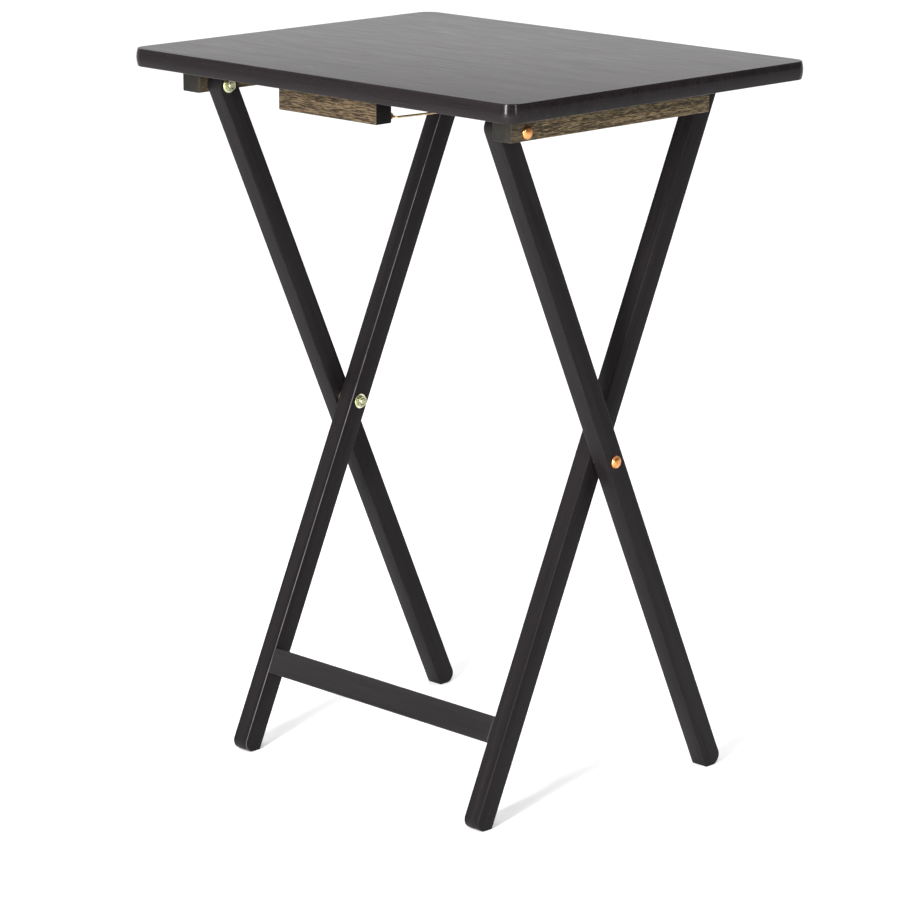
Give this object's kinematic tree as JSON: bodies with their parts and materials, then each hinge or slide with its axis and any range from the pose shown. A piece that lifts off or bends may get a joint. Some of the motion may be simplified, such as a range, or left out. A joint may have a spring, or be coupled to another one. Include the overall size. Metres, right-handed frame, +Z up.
{
  "type": "folding tray table",
  "caption": "Small folding table: a flat rounded board on a pair of crossed leg frames that pivot on bolts, with a wire latch under the board.",
  "frame": {"origin": "On the floor, under the centre of the board, which is also the centre of the bounding box's underside.", "axes": "+X along the board's long edge, +Y from the front edge (where the outer legs reach the board) to the back edge, +Z up. The table is mirrored about X = 0."},
  "size_m": [0.4826, 0.381, 0.6604],
  "materials": {
    "board": "satin black-brown stain, fine grain along X",
    "cleat_left": "open grain, thin dark wash",
    "cleat_right": "open grain, thin dark wash",
    "cleat_screws": "pale zinc",
    "latch_block": "tan wood, streaks along X",
    "block_screws": "pale zinc",
    "latch_eyes": "brass-coloured wire",
    "latch_wire": "brass-coloured wire",
    "outer_leg_left": "satin black-brown stain",
    "outer_leg_right": "satin black-brown stain",
    "inner_leg_left": "satin black-brown stain",
    "inner_leg_right": "satin black-brown stain",
    "stretcher": "satin black-brown stain",
    "stretcher_dowels": "plain beech",
    "crossbar": "satin black-brown stain",
    "top_bolts": "coppery brass, domed head",
    "top_spacers": "yellow zinc",
    "top_washers": "yellow zinc",
    "top_nuts": "yellow zinc",
    "cross_bolts": "coppery brass, domed head",
    "cross_spacers": "yellow zinc",
    "cross_washers": "yellow zinc",
    "cross_nuts": "yellow zinc"
  },
  "bodies": {
    "outer_frame": {"outer_leg_left": "outer_leg_left", "outer_leg_right": "outer_leg_right", "top_bolts": "top_bolts", "top_spacers": "top_spacers", "top_washers": "top_washers", "top_nuts": "top_nuts", "cross_bolts": "cross_bolts", "cross_spacers": "cross_spacers", "cross_washers": "cross_washers", "cross_nuts": "cross_nuts"},
    "inner_frame": {"inner_leg_left": "inner_leg_left", "inner_leg_right": "inner_leg_right", "stretcher": "stretcher", "stretcher_dowels": "stretcher_dowels", "crossbar": "crossbar"},
    "tabletop": {"board": "board", "cleat_left": "cleat_left", "cleat_right": "cleat_right", "cleat_screws": "cleat_screws", "latch_block": "latch_block", "block_screws": "block_screws", "latch_eyes": "latch_eyes"},
    "latch": {"latch_wire": "latch_wire"}
  },
  "joints": [
    {"name": "fold", "type": "hinge", "parent": "outer_frame", "child": "inner_frame", "pos_m": [0, 0.004, 0.316], "axis": [1, 0, 0], "range_deg": [0, 45]},
    {"name": "board_turn", "type": "hinge", "parent": "outer_frame", "child": "tabletop", "pos_m": [0, -0.13662, 0.6285], "axis": [1, 0, 0], "range_deg": [0, 112.5]},
    {"name": "latch_swing", "type": "hinge", "parent": "tabletop", "child": "latch", "pos_m": [0, -0.1485, 0.6266], "axis": [1, 0, 0], "range_deg": [-175.5, 0]}
  ],
  "couplings": [
    {"joint": "board_turn", "follows": "fold", "ratio": 2.5},
    {"joint": "latch_swing", "follows": "fold", "ratio": -3.9}
  ]
}
